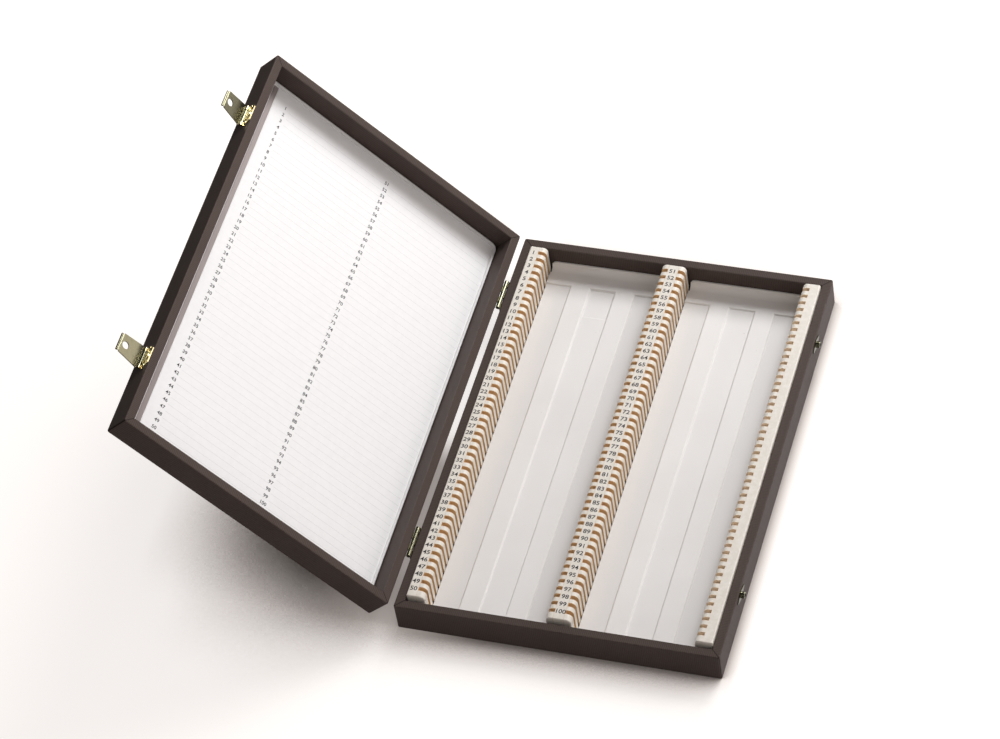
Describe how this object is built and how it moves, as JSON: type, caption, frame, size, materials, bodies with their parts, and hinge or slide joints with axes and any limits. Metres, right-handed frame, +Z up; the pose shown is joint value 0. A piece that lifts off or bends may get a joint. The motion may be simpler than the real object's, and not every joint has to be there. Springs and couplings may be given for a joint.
{
  "type": "microscope slide storage case",
  "caption": "Shallow hinged case with slotted racks and lined floor for microscope slides, a numbered index card in the lid, and two hasps that drop over studs.",
  "frame": {"origin": "centre of the base's underside", "axes": "+Z up, +X from the hinge side to the hasp side, +Y from slot 50 to slot 1"},
  "size_m": [0.3321, 0.268, 0.1597],
  "materials": {
    "covered_wall": "dark leatherette paper over wood",
    "covered_board": "dark leatherette paper over board",
    "painted_rack": "ivory paint with bare wood in the saw cuts",
    "floor_sheet": "formed white sheet",
    "lid_lining": "formed white sheet",
    "card": "printed white card",
    "brass_fittings": "thin brass, lightly tarnished",
    "nails": "polished round heads"
  },
  "bodies": {
    "base": {"base_bottom_board": "covered_board", "base_hinge_nails": "nails", "base_wall_front": "covered_wall", "base_wall_hinge_side": "covered_wall", "base_wall_latch_side": "covered_wall", "base_wall_rear": "covered_wall", "floor_tray_left": "floor_sheet", "floor_tray_right": "floor_sheet", "front_hinge_base_leaf": "brass_fittings", "front_hinge_pin": "brass_fittings", "front_keeper_plate": "brass_fittings", "front_keeper_stud": "brass_fittings", "rack_centre": "painted_rack", "rack_left": "painted_rack", "rack_right": "painted_rack", "rear_hinge_base_leaf": "brass_fittings", "rear_hinge_pin": "brass_fittings", "rear_keeper_plate": "brass_fittings", "rear_keeper_stud": "brass_fittings"},
    "lid": {"front_hasp_pin": "brass_fittings", "front_hasp_plate": "brass_fittings", "front_hinge_lid_leaf": "brass_fittings", "hasp_plate_nails": "nails", "index_card": "card", "lid_hinge_nails": "nails", "lid_liner": "lid_lining", "lid_top_board": "covered_board", "lid_wall_front": "covered_wall", "lid_wall_hinge_side": "covered_wall", "lid_wall_latch_side": "covered_wall", "lid_wall_rear": "covered_wall", "rear_hasp_pin": "brass_fittings", "rear_hasp_plate": "brass_fittings", "rear_hinge_lid_leaf": "brass_fittings"},
    "rear_hasp_flap": {"rear_hasp_flap": "brass_fittings"},
    "front_hasp_flap": {"front_hasp_flap": "brass_fittings"}
  },
  "joints": [
    {"name": "lid_hinge", "type": "hinge", "parent": "base", "child": "lid", "pos_m": [-0.0925, 0, 0.01915], "axis": [0, -1, 0], "range_deg": [-134.3, 45.7]},
    {"name": "rear_hasp", "type": "hinge", "parent": "lid", "child": "rear_hasp_flap", "pos_m": [-0.22715, 0.0891, 0.14603], "axis": [0, -1, 0], "range_deg": [-75.5, 96.5]},
    {"name": "front_hasp", "type": "hinge", "parent": "lid", "child": "front_hasp_flap", "pos_m": [-0.22715, -0.0883, 0.14603], "axis": [0, -1, 0], "range_deg": [-83.5, 88.5]}
  ]
}
